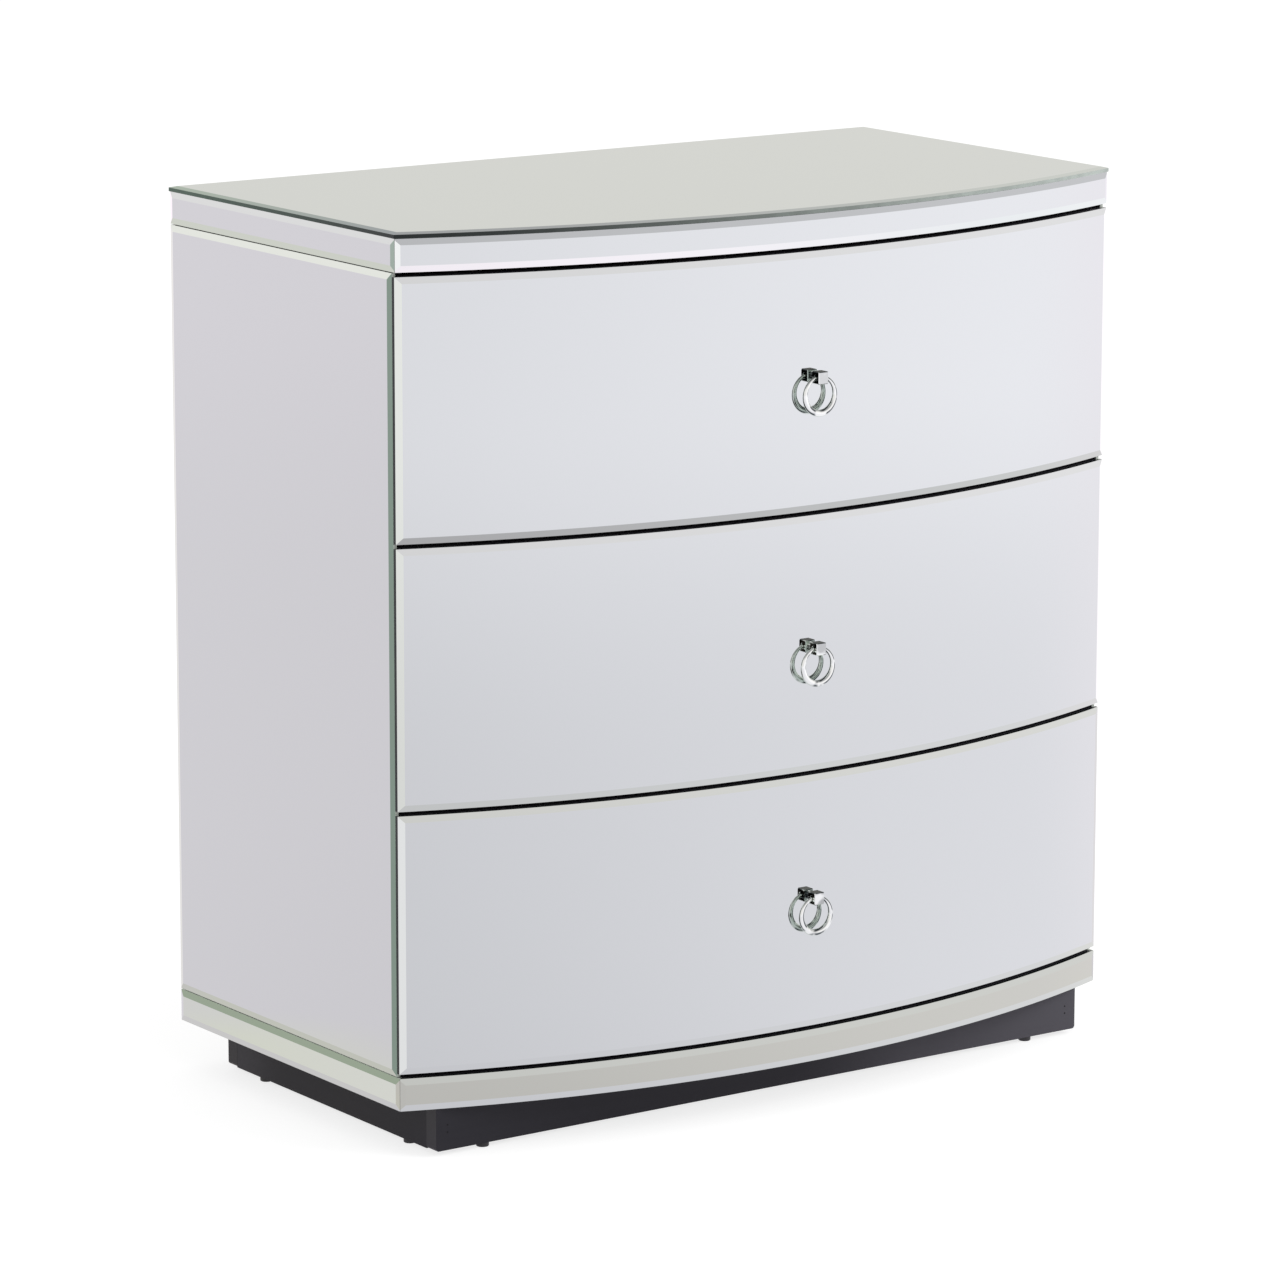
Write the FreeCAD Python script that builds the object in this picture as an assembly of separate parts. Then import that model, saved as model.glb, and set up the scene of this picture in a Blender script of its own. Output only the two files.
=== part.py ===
import FreeCAD, Part
import math
import os

Vector = FreeCAD.Vector

# A chest of three drawers with a bowed front, faced with bevelled mirror glass on boards.
# Millimetres, +Z up, the front faces -Y. While the pieces are made, y = 0 is the line through
# the two front corners. They are saved with the origin on the floor, under the middle of the
# whole chest, pulls included.

# ------------------------------------------------------------------ driving sizes
# Whole body
body_width = 813.0
side_depth = 386.0              # from the front corner line to the back
bow_rise = 77.0                 # how far the front swells forward of the corners
levels = ("lower", "middle", "upper")

# Mirror glass
glass_thickness = 5.0
bevel_width = 6.0
bevel_depth = 1.5
glue_line = 0.3                 # adhesive between glass and board, and between two sheets at a mitre
strip_gap = 1.0                 # gap between neighbouring sheets on one side of the body
drawer_glass_inset = 1.0        # the ends of a drawer's mirror, inside the faces of the side mirrors
side_mirror_gap = 1.0           # from the ends of the drawer mirrors back to the side mirrors

# Heights
glide_height = 5.0
plinth_height = 41.0
band_height = 30.55
drawer_front_height = 240.5
reveal = 4.1                    # gap above and below each drawer front

# Boards
panel_thickness = 15.0
shelf_thickness = 18.0
divider_thickness = 18.0
divider_depth = 60.0            # behind the front edge of the side panels
back_thickness = 5.0
closing_gap = 2.0               # between a closed drawer front and the cabinet behind it

# Drawer box
drawer_board = 15.0             # curved board behind the mirror
lipping_width = 20.0            # solid strip at each end of the curved board
drawer_wall = 12.0
drawer_box_height = 180.0
drawer_box_lift = 20.0          # lower edge of the box above the lower edge of its front
drawer_bottom_thickness = 6.0
drawer_bottom_lift = 10.0       # underside of the bottom above the lower edge of the box
drawer_back_drop = 10.0         # top of the back wall below the top of the box
groove_depth = 6.0
groove_clearance = 0.2
drawer_side_gap = 1.0           # between a curved board and the side mirror beside it
drawer_rear_clearance = 6.0

# Telescopic runners, three nested steel members each
runner_length = 350.0
runner_height = 45.0
runner_thickness = 12.7         # from the side panel to the drawer wall
runner_setback = 2.0            # behind the front edge of the side panel
runner_reach = 10.2             # how far the cabinet member stands off the side panel
steel = 1.2                     # sheet thickness
cabinet_lip = 2.0
intermediate_lip = 2.8
running_gap = 0.3

# Plinth
plinth_board = 16.0
plinth_side_inset = 33.0        # inside the side mirrors
plinth_front_reach = 10.0       # in front of the front corner line
plinth_back_inset = 33.5
plinth_corner_radius = 3.0
corner_block_leg = 45.0
corner_block_height = 36.0
glide_radius = 6.0
glide_rim = 1.0                 # small rounding round the foot of a glide
glide_inset = 56.0              # from a plinth corner to the nearest glide

# Ring pull
pull_lifts = (5.0, -3.0, 5.0)   # of each pull above the middle of its drawer front, from the lowest drawer up
neck_radius = 5.0
neck_length = 3.0
head_width = 11.0
head_height = 11.5
head_depth = 11.0
head_chamfer = 0.6
ring_radius = 16.8              # to the middle of the wire
wire_radius = 2.4               # halfway down the ring
wire_taper = 0.8                # thinner than that at the top, and thicker at the bottom
ring_sections = 24
ring_play = 0.3                 # round the wire, inside the cross hole of the head
stud_radius = 2.0
stud_clearance = 0.25
stud_end = 2.0                  # beyond the nut
nut_height = 3.2
nut_radius = 4.0                # to the corners of the hexagon
nut_seat_gap = 0.05
thread_clearance = 0.05

# Screws of the back panel
screw_head_radius = 3.5
screw_head_height = 2.0
screw_radius = 1.5
screw_length = 16.0
screw_clearance = 0.1
screws_up = 5                   # on each side edge
screws_across = 2               # between the corners, along the top and the bottom edge
screw_end_margin = 30.0         # from the ends of the back panel to the first screw

# ------------------------------------------------------------------ worked-out places
half_width = body_width / 2
bow_radius = (half_width ** 2 + bow_rise ** 2) / (2 * bow_rise)
bow_centre_y = bow_radius - bow_rise

core_half_width = half_width - glass_thickness - glue_line
core_radius = bow_radius - glass_thickness - glue_line
board_inner_radius = core_radius - drawer_board
drawer_half_width = half_width - glass_thickness - drawer_side_gap
drawer_glass_half_width = half_width - drawer_glass_inset


def bow_y(radius, x):
    """Front-to-back place of an arc about the bow's centre, at a distance x from the middle."""
    return bow_centre_y - math.sqrt(radius ** 2 - x ** 2)


side_mirror_front_y = bow_y(bow_radius - glass_thickness, drawer_glass_half_width) + side_mirror_gap
panel_front_y = bow_y(board_inner_radius, drawer_half_width) + closing_gap
panel_inner_x = core_half_width - panel_thickness
back_face_y = side_depth - screw_head_height
board_back_y = back_face_y - back_thickness

body_z = glide_height + plinth_height
bottom_core_z = body_z + shelf_thickness
bottom_band_top = body_z + band_height
front_pitch = drawer_front_height + reveal
front_z = [bottom_band_top + reveal + index * front_pitch for index in range(len(levels))]
pull_z = [z0 + drawer_front_height / 2 + lift for z0, lift in zip(front_z, pull_lifts)]
top_band_z = front_z[-1] + front_pitch
top_z = top_band_z + band_height
top_core_z = top_z - shelf_thickness

drawer_outer_x = panel_inner_x - runner_thickness
drawer_inner_x = drawer_outer_x - drawer_wall
drawer_rear_y = board_back_y - drawer_rear_clearance

glass_face_y = -bow_rise
ring_axis_y = glass_face_y - neck_length - head_depth / 2
pull_front_y = glass_face_y - neck_length - head_depth
origin_y = (side_depth + pull_front_y) / 2


# ------------------------------------------------------------------ shape helpers
def save(node, solids):
    """Write one node, moved from the corner line to the origin under the middle of the chest."""
    shape = solids[0] if len(solids) == 1 else Part.makeCompound(solids)
    shape.translate(Vector(0, -origin_y, 0))
    shape.exportStep("parts/" + node + ".step")


def block(x0, x1, y0, y1, z0, z1):
    """A box between two places on each axis."""
    return Part.makeBox(x1 - x0, y1 - y0, z1 - z0, Vector(x0, y0, z0))


def mirrored(shape):
    """The same shape on the other side of the middle plane."""
    return shape.mirror(Vector(0, 0, 0), Vector(1, 0, 0))


def bow_outline(half_x, radius, back_y, z):
    """Closed outline with straight sides and back, and an arc for its front edge."""
    left_front = Vector(-half_x, bow_y(radius, half_x), z)
    apex = Vector(0, bow_centre_y - radius, z)
    right_front = Vector(half_x, bow_y(radius, half_x), z)
    right_back = Vector(half_x, back_y, z)
    left_back = Vector(-half_x, back_y, z)
    front = Part.Arc(left_front, apex, right_front).toShape()
    right = Part.LineSegment(right_front, right_back).toShape()
    back = Part.LineSegment(right_back, left_back).toShape()
    left = Part.LineSegment(left_back, left_front).toShape()
    return Part.Wire([front, right, back, left])


def bow_plate(half_x, radius, back_y, z0, z1):
    """A level board with a bowed front edge."""
    face = Part.Face(bow_outline(half_x, radius, back_y, z0))
    return face.extrude(Vector(0, 0, z1 - z0))


def bow_sheet(profile, half_x):
    """Sweep a profile of (radius, z) points round the bow, and cut it off square at both sides."""
    points = [Vector(0, bow_centre_y - radius, z) for radius, z in profile]
    face = Part.Face(Part.makePolygon(points + points[:1]))
    inner_radius = min(radius for radius, _ in profile)
    heights = [z for _, z in profile]
    half_sweep = math.degrees(math.asin(half_x / inner_radius)) + 1
    axis_point = Vector(0, bow_centre_y, 0)
    face.rotate(axis_point, Vector(0, 0, 1), -half_sweep)
    sheet = face.revolve(axis_point, Vector(0, 0, 1), 2 * half_sweep)
    trim = block(-half_x, half_x, glass_face_y - 1, bow_centre_y, min(heights) - 1, max(heights) + 1)
    return sheet.common(trim)


def prism(outline, z0, z1):
    """An upright prism over a closed outline of (x, y) points."""
    points = [Vector(x, y, z0) for x, y in outline]
    return Part.Face(Part.makePolygon(points + points[:1])).extrude(Vector(0, 0, z1 - z0))


# ------------------------------------------------------------------ mirror glass
def bow_mirror(half_x, z0, z1):
    """A curved mirror, bevelled along all four edges of its outer face."""
    inner = bow_radius - glass_thickness
    edge = bow_radius - bevel_depth
    profile = [(inner, z0), (inner, z1), (edge, z1), (bow_radius, z1 - bevel_width),
               (bow_radius, z0 + bevel_width), (edge, z0)]
    glass = bow_sheet(profile, half_x)
    slope = math.asin(half_x / bow_radius)
    facet_x = half_x - bevel_width * math.cos(slope)
    facet_y = bow_y(bow_radius, facet_x)
    end_y = bow_y(bow_radius, half_x) + bevel_depth / math.cos(slope)
    # The cutter's long side runs along the bevel and on past both its edges.
    step_x = half_x - facet_x
    step_y = end_y - facet_y
    near = (facet_x - step_x / 4, facet_y - step_y / 4)
    far = (half_x + step_x / 4, end_y + step_y / 4)
    outside = (half_x + step_x / 4, facet_y - step_y)
    cutter = prism([near, far, outside], z0 - 1, z1 + 1)
    return glass.cut(cutter).cut(mirrored(cutter))


def side_glass(y0, y1, z0, z1):
    """A flat mirror on the right side of the body, bevelled along all four edges."""
    def outline(x, inset):
        corners = [(y0 + inset, z0 + inset), (y1 - inset, z0 + inset),
                   (y1 - inset, z1 - inset), (y0 + inset, z1 - inset)]
        points = [Vector(x, y, z) for y, z in corners]
        return Part.makePolygon(points + points[:1])

    sections = [outline(half_width - glass_thickness, 0), outline(half_width - bevel_depth, 0),
                outline(half_width, bevel_width)]
    return Part.makeLoft(sections, True, True)


def top_glass():
    """The top mirror, bevelled along its bowed front and its three straight edges."""
    edge_z = top_z + glass_thickness - bevel_depth
    face_z = top_z + glass_thickness
    sections = [bow_outline(half_width, bow_radius, side_depth, top_z),
                bow_outline(half_width, bow_radius, side_depth, edge_z),
                bow_outline(half_width - bevel_width, bow_radius - bevel_width,
                            side_depth - bevel_width, face_z)]
    return Part.makeLoft(sections, True, True)


def mitre_cutter(z0, z1, behind):
    """What the mitre at the right front corner takes off a strip.

    The mitre runs from the outer corner of the body to the corner between the two back faces.
    Seen from it, the cutter lies behind it (for the curved strip) or in front (for the side strip).
    """
    outer = Vector(half_width, 0)
    inner_x = half_width - glass_thickness
    inner = Vector(inner_x, bow_y(bow_radius - glass_thickness, inner_x))
    along = (inner - outer).normalize()
    across = Vector(along.y, -along.x) * (1 if behind else -1)
    start = outer - along * bevel_width - across * (glue_line / 2)
    end = inner + along * bevel_width - across * (glue_line / 2)
    reach = across * (2 * bevel_width)
    outline = [start, end, end + reach, start + reach]
    return prism([(point.x, point.y) for point in outline], z0 - 1, z1 + 1)


def save_body_mirrors():
    """Top, sides and the bands above and below the drawers."""
    save("top_mirror", [top_glass()])
    side = side_glass(side_mirror_front_y, side_depth, bottom_band_top + strip_gap, top_band_z - strip_gap)
    save("side_mirror_left", [mirrored(side)])
    save("side_mirror_right", [side])
    for band, z0, z1 in (("bottom_band", body_z, bottom_band_top), ("top_band", top_band_z, top_z)):
        cutter = mitre_cutter(z0, z1, True)
        save(band + "_mirror_front", [bow_mirror(half_width, z0, z1).cut(cutter).cut(mirrored(cutter))])
        strip = side_glass(0, side_depth, z0, z1).cut(mitre_cutter(z0, z1, False))
        save(band + "_mirror_left", [mirrored(strip)])
        save(band + "_mirror_right", [strip])


# ------------------------------------------------------------------ cabinet
def screw_places():
    """Centres of the back panel's screws: up both side edges, and along the top and the bottom."""
    edge_x = panel_inner_x + panel_thickness / 2
    low_z = body_z + shelf_thickness / 2
    high_z = top_z - shelf_thickness / 2
    first_z = bottom_core_z + screw_end_margin
    pitch_z = (top_core_z - screw_end_margin - first_z) / (screws_up - 1)
    pitch_x = 2 * edge_x / (screws_across + 1)
    sides = [(side * edge_x, first_z + index * pitch_z) for side in (-1, 1) for index in range(screws_up)]
    ends = [(-edge_x + (index + 1) * pitch_x, z) for z in (low_z, high_z) for index in range(screws_across)]
    return sides + ends


def screw_bores():
    """What the back panel's screws take out of the panel and of the boards behind it."""
    return [Part.makeCylinder(screw_radius + screw_clearance, screw_length + 1,
                              Vector(x, back_face_y, z), Vector(0, -1, 0)) for x, z in screw_places()]


def back_screw(x, z):
    """A pan-head screw that points forward."""
    head = Part.makeCylinder(screw_head_radius, screw_head_height, Vector(x, back_face_y, z), Vector(0, 1, 0))
    shank = Part.makeCylinder(screw_radius, screw_length, Vector(x, back_face_y, z), Vector(0, -1, 0))
    return head.fuse(shank)


def save_cabinet():
    """Boards, dividers and back."""
    bores = Part.makeCompound(screw_bores())
    bottom_board = bow_plate(core_half_width, core_radius, board_back_y, body_z, bottom_core_z)
    top_board = bow_plate(core_half_width, core_radius, board_back_y, top_core_z, top_z)
    side_panel = block(panel_inner_x, core_half_width, panel_front_y, board_back_y, bottom_core_z, top_core_z)
    back = block(-core_half_width, core_half_width, board_back_y, back_face_y, body_z, top_z)
    save("bottom_board", [bottom_board.cut(bores)])
    save("top_board", [top_board.cut(bores)])
    save("side_panel_left", [mirrored(side_panel).cut(bores)])
    save("side_panel_right", [side_panel.cut(bores)])
    save("back_panel", [back.cut(bores)])
    save("back_panel_screws", [back_screw(x, z) for x, z in screw_places()])
    save("bottom_rail", [bow_plate(core_half_width, core_radius, panel_front_y, bottom_core_z, bottom_band_top)])
    save("top_rail", [bow_plate(core_half_width, core_radius, panel_front_y, top_band_z, top_core_z)])
    for name, gap_z in (("divider_rail_lower", front_z[1]), ("divider_rail_upper", front_z[2])):
        middle_z = gap_z - reveal / 2
        save(name, [bow_plate(panel_inner_x, board_inner_radius - closing_gap, panel_front_y + divider_depth,
                              middle_z - divider_thickness / 2, middle_z + divider_thickness / 2)])


# ------------------------------------------------------------------ plinth
def save_plinth():
    """A frame of four boards with corner blocks, standing on small glides."""
    half_x = half_width - plinth_side_inset
    front_y = -plinth_front_reach
    back_y = side_depth - plinth_back_inset
    inner_x = half_x - plinth_board
    inner_front_y = front_y + plinth_board
    inner_back_y = back_y - plinth_board

    def cross_board(y0, y1):
        board = block(-half_x, half_x, y0, y1, glide_height, body_z)
        low_corners = [edge for edge in board.Edges
                       if edge.BoundBox.XLength < 1e-6 and edge.BoundBox.ZMax < glide_height + 1e-6]
        return board.makeFillet(plinth_corner_radius, low_corners)

    side = block(inner_x, half_x, inner_front_y, inner_back_y, glide_height, body_z)
    save("plinth_front", [cross_board(front_y, inner_front_y)])
    save("plinth_back", [cross_board(inner_back_y, back_y)])
    save("plinth_left", [mirrored(side)])
    save("plinth_right", [side])

    blocks = []
    for corner_y, inward in ((inner_front_y, 1), (inner_back_y, -1)):
        outline = [(inner_x, corner_y), (inner_x - corner_block_leg, corner_y),
                   (inner_x, corner_y + inward * corner_block_leg)]
        right_block = prism(outline, body_z - corner_block_height, body_z)
        blocks += [right_block, mirrored(right_block)]
    save("plinth_corner_blocks", blocks)

    board_middle = plinth_board / 2
    places = [(half_x - glide_inset, front_y + board_middle), (half_x - glide_inset, back_y - board_middle),
              (half_x - board_middle, front_y + glide_inset), (half_x - board_middle, back_y - glide_inset)]
    glides = []
    for x, y in places:
        glide = Part.makeCylinder(glide_radius, glide_height, Vector(x, y, 0))
        foot = [edge for edge in glide.Edges if edge.BoundBox.ZMax < 1e-6]
        glide = glide.makeFillet(glide_rim, foot)
        glides += [glide, mirrored(glide)]
    save("floor_glides", glides)


# ------------------------------------------------------------------ runners
def runner_member(half_section, middle_z):
    """Left and right member of one kind, from the upper half of its section.

    The section is given as (u, v) points: u from the side panel towards the drawer, v up from
    the middle of the runner. The lower half is the same, upside down.
    """
    section = half_section + [(u, -v) for u, v in reversed(half_section)]
    front_y = panel_front_y + runner_setback
    points = [Vector(panel_inner_x - u, front_y, middle_z + v) for u, v in section]
    member = Part.Face(Part.makePolygon(points + points[:1])).extrude(Vector(0, runner_length, 0))
    return [mirrored(member), member]


def save_runners(level, middle_z):
    """Three members that nest in each other, each caught behind the lips of the one outside it."""
    outer_v = runner_height / 2
    save(level + "_cabinet_rails", runner_member([
        (0, outer_v), (runner_reach, outer_v), (runner_reach, outer_v - steel - cabinet_lip),
        (runner_reach - steel, outer_v - steel - cabinet_lip), (runner_reach - steel, outer_v - steel),
        (steel, outer_v - steel)], middle_z))

    near_u = steel + running_gap
    far_u = runner_reach - steel - running_gap
    middle_v = outer_v - steel - running_gap
    lip_v = middle_v - steel - intermediate_lip
    save(level + "_intermediate_rails", runner_member([
        (near_u, middle_v), (far_u, middle_v), (far_u, lip_v), (far_u - steel, lip_v),
        (far_u - steel, middle_v - steel), (near_u + steel, middle_v - steel)], middle_z))

    inner_v = middle_v - steel - running_gap
    neck_v = lip_v - running_gap
    flange_u = far_u - steel - running_gap
    save(level + "_drawer_rails", runner_member([
        (runner_thickness, neck_v), (flange_u, neck_v), (flange_u, inner_v), (flange_u - steel, inner_v),
        (flange_u - steel, neck_v - steel), (runner_thickness - steel, neck_v - steel)], middle_z))


# ------------------------------------------------------------------ drawers
def save_drawer_box(level, z0, stud_z):
    """Curved front board, side walls, back wall and bottom, the bottom held in grooves."""
    box_z = z0 + drawer_box_lift
    box_top = box_z + drawer_box_height
    bottom_z = box_z + drawer_bottom_lift
    bottom_top = bottom_z + drawer_bottom_thickness
    groove_top = bottom_top + groove_clearance
    groove_x = drawer_inner_x + groove_depth
    groove_radius = board_inner_radius + groove_depth

    board_profile = [(board_inner_radius, z0), (board_inner_radius, z0 + drawer_front_height),
                     (core_radius, z0 + drawer_front_height), (core_radius, z0)]
    groove_profile = [(board_inner_radius - 1, bottom_z), (board_inner_radius - 1, groove_top),
                      (groove_radius, groove_top), (groove_radius, bottom_z)]
    board = bow_sheet(board_profile, drawer_half_width)
    lipping = block(drawer_half_width - lipping_width, drawer_half_width, glass_face_y, bow_centre_y,
                    z0, z0 + drawer_front_height)
    lippings = [board.common(mirrored(lipping)), board.common(lipping)]
    board = board.cut(mirrored(lipping)).cut(lipping)
    board = board.cut(bow_sheet(groove_profile, groove_x)).cut(stud_bore(stud_z))
    save(level + "_drawer_front", [board] + lippings)
    glass = bow_mirror(drawer_glass_half_width, z0, z0 + drawer_front_height)
    save(level + "_drawer_mirror", [glass.cut(stud_bore(stud_z))])

    behind_board = Part.makeCylinder(board_inner_radius - glue_line, drawer_box_height,
                                     Vector(0, bow_centre_y, box_z))
    wall = block(drawer_inner_x, drawer_outer_x, glass_face_y, drawer_rear_y, box_z, box_top)
    groove = block(drawer_inner_x, groove_x, glass_face_y, drawer_rear_y, bottom_z, groove_top)
    wall = wall.cut(groove).common(behind_board)
    save(level + "_drawer_sides", [mirrored(wall), wall])
    save(level + "_drawer_back", [block(-drawer_inner_x, drawer_inner_x, drawer_rear_y - drawer_wall,
                                        drawer_rear_y, bottom_top, box_top - drawer_back_drop)])
    save(level + "_drawer_bottom", [bow_plate(groove_x - groove_clearance, groove_radius - groove_clearance,
                                              drawer_rear_y, bottom_z, bottom_top)])


# ------------------------------------------------------------------ ring pulls
def stud_bore(z):
    """The hole for the pull's stud, through glass and board."""
    depth = bow_rise + bow_centre_y - board_inner_radius + 2
    return Part.makeCylinder(stud_radius + stud_clearance, depth, Vector(0, glass_face_y - 1, z), Vector(0, 1, 0))


def wire_thickness(turn):
    """Half the thickness of the ring's wire, at an angle from the top of the ring."""
    return wire_radius - wire_taper * math.cos(turn)


def tapered_ring(z):
    """The ring: round sections carried once round a circle, thin in the head and thick below."""
    sections = []
    for index in range(ring_sections):
        turn = 2 * math.pi * index / ring_sections
        place = Vector(ring_radius * math.sin(turn), ring_axis_y, z + ring_radius * math.cos(turn))
        tangent = Vector(math.cos(turn), 0, -math.sin(turn))
        sections.append(Part.Wire([Part.makeCircle(wire_thickness(turn), place, tangent)]))
    return Part.Solid(Part.makeLoft(sections, False, False, True))


def save_pull(level, z):
    """Post with a square, cross-drilled head, the ring in the cross hole, and the nut inside."""
    exit_drop = ring_radius - math.sqrt(ring_radius ** 2 - (head_width / 2) ** 2)
    exit_slope = math.asin(head_width / 2 / ring_radius)
    cross_radius = exit_drop / 2 + wire_thickness(exit_slope) / math.cos(exit_slope) + ring_play
    nut_face_y = bow_centre_y - board_inner_radius + nut_seat_gap

    head = block(-head_width / 2, head_width / 2, pull_front_y, glass_face_y - neck_length,
                 z - head_height / 2, z + head_height / 2)
    head = head.makeChamfer(head_chamfer, head.Edges)
    neck = Part.makeCylinder(neck_radius, neck_length + head_chamfer, Vector(0, glass_face_y, z), Vector(0, -1, 0))
    stud_length = nut_face_y + nut_height + stud_end - glass_face_y
    stud = Part.makeCylinder(stud_radius, stud_length, Vector(0, glass_face_y, z), Vector(0, 1, 0))
    cross_hole = Part.makeCylinder(cross_radius, head_width + 2, Vector(-head_width / 2 - 1, ring_axis_y, z),
                                   Vector(1, 0, 0))
    save(level + "_pull_post", [head.fuse([neck, stud]).cut(cross_hole).removeSplitter()])

    save(level + "_pull_ring", [tapered_ring(z + exit_drop / 2 - ring_radius)])

    corners = [Vector(nut_radius * math.cos(math.radians(60 * index)), nut_face_y,
                      z + nut_radius * math.sin(math.radians(60 * index))) for index in range(6)]
    nut = Part.Face(Part.makePolygon(corners + corners[:1])).extrude(Vector(0, nut_height, 0))
    bore = Part.makeCylinder(stud_radius + thread_clearance, nut_height, Vector(0, nut_face_y, z), Vector(0, 1, 0))
    save(level + "_pull_nut", [nut.cut(bore)])


# ------------------------------------------------------------------ the whole chest
def main():
    """Write every node of the chest."""
    os.makedirs("parts", exist_ok=True)
    save_body_mirrors()
    save_cabinet()
    save_plinth()
    for level, z0, stud_z in zip(levels, front_z, pull_z):
        save_drawer_box(level, z0, stud_z)
        save_runners(level, z0 + drawer_box_lift + drawer_box_height / 2)
        save_pull(level, stud_z)


main()
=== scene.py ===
import math
from functools import partial

import bpy
import numpy as np
from mathutils import Euler, Matrix, Vector


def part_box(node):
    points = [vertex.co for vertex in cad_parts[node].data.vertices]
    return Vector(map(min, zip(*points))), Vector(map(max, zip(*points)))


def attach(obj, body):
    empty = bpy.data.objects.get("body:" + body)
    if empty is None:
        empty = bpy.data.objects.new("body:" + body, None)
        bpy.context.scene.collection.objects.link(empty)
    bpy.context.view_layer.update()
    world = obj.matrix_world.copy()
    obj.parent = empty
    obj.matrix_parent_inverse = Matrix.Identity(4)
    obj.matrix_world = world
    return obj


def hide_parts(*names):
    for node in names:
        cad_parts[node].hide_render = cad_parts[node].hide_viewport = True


bl_info = {
    "name": "Bow-front mirrored chest",
    "version": (1, 0, 0),
    "blender": (4, 5, 0),
    "location": "3D Viewport > Sidebar > Chest",
    "description": "Dresses a packed chest of drawers in bevelled mirror glass",
    "category": "Object",
}

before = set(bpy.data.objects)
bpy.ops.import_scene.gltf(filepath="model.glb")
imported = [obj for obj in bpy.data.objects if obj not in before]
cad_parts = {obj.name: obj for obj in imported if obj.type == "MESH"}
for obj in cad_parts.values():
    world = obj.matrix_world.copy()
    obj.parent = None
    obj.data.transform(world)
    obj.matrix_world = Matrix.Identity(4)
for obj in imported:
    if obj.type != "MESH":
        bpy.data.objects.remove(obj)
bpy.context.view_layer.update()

LEVELS = ("upper", "middle", "lower")
SIDES = {"left": -1, "right": 1}


# ---- sizes and colours
def number(what, default, least=0.0, **kind):
    """A number that a user may change."""
    return partial(bpy.props.FloatProperty, description=what, default=default, min=least, **kind)


def length(what, default):
    """A length in metres."""
    return number(what, default, precision=5, subtype="DISTANCE", unit="LENGTH")


def angle(what, degrees):
    """An angle, given in degrees."""
    return number(what, math.radians(degrees), -math.tau, subtype="ANGLE", unit="ROTATION")


def count(what, default, least):
    """A whole number."""
    return partial(bpy.props.IntProperty, description=what, default=default, min=least)


def three(what, default, **kind):
    """Three numbers in one."""
    return partial(bpy.props.FloatVectorProperty, description=what, default=default, size=3, **kind)


def tint(what, default):
    """A linear colour."""
    return three(what, default, min=0, max=1, subtype="COLOR")


def named(settings):
    """Makes the properties of a class of settings, each with its attribute's name in words."""
    for key, prop in settings.__annotations__.items():
        settings.__annotations__[key] = prop(name=key.replace("_", " ").capitalize())
    return settings


@named
class ChestGlassSizes(bpy.types.PropertyGroup):
    """Sizes of the bow and of the mirror glass"""
    side_depth: length("From the front corner line to the back", 0.386)
    bow_rise: length("How far the front swells past its corners", 0.077)
    thickness: length("Thickness of every sheet", 0.005)
    bevel_width: length("Width of the bevel round each sheet", 0.006)
    bevel_depth: length("How far the bevel sinks at its edge", 0.0015)
    glue_line: length("Gap between two sheets at a mitre", 0.0003)
    bow_columns: count("Facets across a bowed sheet", 120, 8)


@named
class ChestPullSizes(bpy.types.PropertyGroup):
    """Sizes of a ring pull"""
    neck_radius: length("Round stub between the glass and the head", 0.005)
    neck_length: length("From the glass to the back of the head", 0.003)
    head_width: length("Across the square head", 0.011)
    head_height: length("Height of the square head", 0.0115)
    head_depth: length("Front to back of the square head", 0.011)
    head_chamfer: length("Chamfer along every edge of the head", 0.0006)
    ring_radius: length("To the middle of the wire", 0.0168)
    wire_radius: length("Half the wire, halfway down the ring", 0.0024)
    wire_taper: length("Thinner by it at the top, thicker at the bottom", 0.0008)
    ring_play: length("Room round the wire in the cross hole", 0.0003)
    stud_radius: length("Threaded rod behind the neck", 0.002)
    thread_pitch: length("From one turn of the thread to the next", 0.0007)
    ease: length("Chamfer at the ends of neck and stud", 0.0003)


@named
class ChestScrewSizes(bpy.types.PropertyGroup):
    """Sizes and numbers of the back panel's screws"""
    head_radius: length("Pan head", 0.0035)
    head_height: length("Over the back panel", 0.002)
    shank_radius: length("Under the head", 0.0015)
    shank_length: length("Under the head", 0.016)
    cross_reach: length("From the middle of the recess to an end", 0.0018)
    cross_width: length("Across a bar of the recess", 0.0008)
    end_margin: length("From a board to the first screw at a side", 0.030)
    count_up: count("Along each side edge", 5, 2)
    count_across: count("Along the top and the bottom", 2, 1)


@named
class ChestColours(bpy.types.PropertyGroup):
    """Linear colours of the finishes"""
    backing: tint("Paint over the silvering", (0.12, 0.13, 0.13))
    board: tint("Near-black satin paint inside the chest", (0.055, 0.053, 0.066))
    plinth: tint("Charcoal satin paint", (0.022, 0.0215, 0.027))
    # This colour is mixed into the plinth's paint as a painted light at the right end of the front, and as a
    # lighter tone towards the joint at the back of the sides; it is no dust.
    dust: tint("What lies on the plinth's paint", (0.078, 0.075, 0.088))
    ply: tint("Lacquered light plywood", (0.56, 0.4, 0.24))
    ply_figure: tint("Broad honey-coloured bands in its face", (0.62, 0.46, 0.3))
    hardboard: tint("Thin dark-faced back board", (0.05, 0.034, 0.024))
    zinc: tint("Bright plating of the runners", (0.55, 0.57, 0.6))
    chrome: tint("Plating of the pulls", (0.9, 0.95, 0.89))
    # This colour is a painted reflection of a dark gap in the room, laid into the chrome's colour where it
    # turns away.
    chrome_painted_reflection: tint("Thin dark line where the chrome turns away", (0.085, 0.1, 0.105))
    nylon: tint("Moulded glides", (0.02, 0.02, 0.021))


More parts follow.
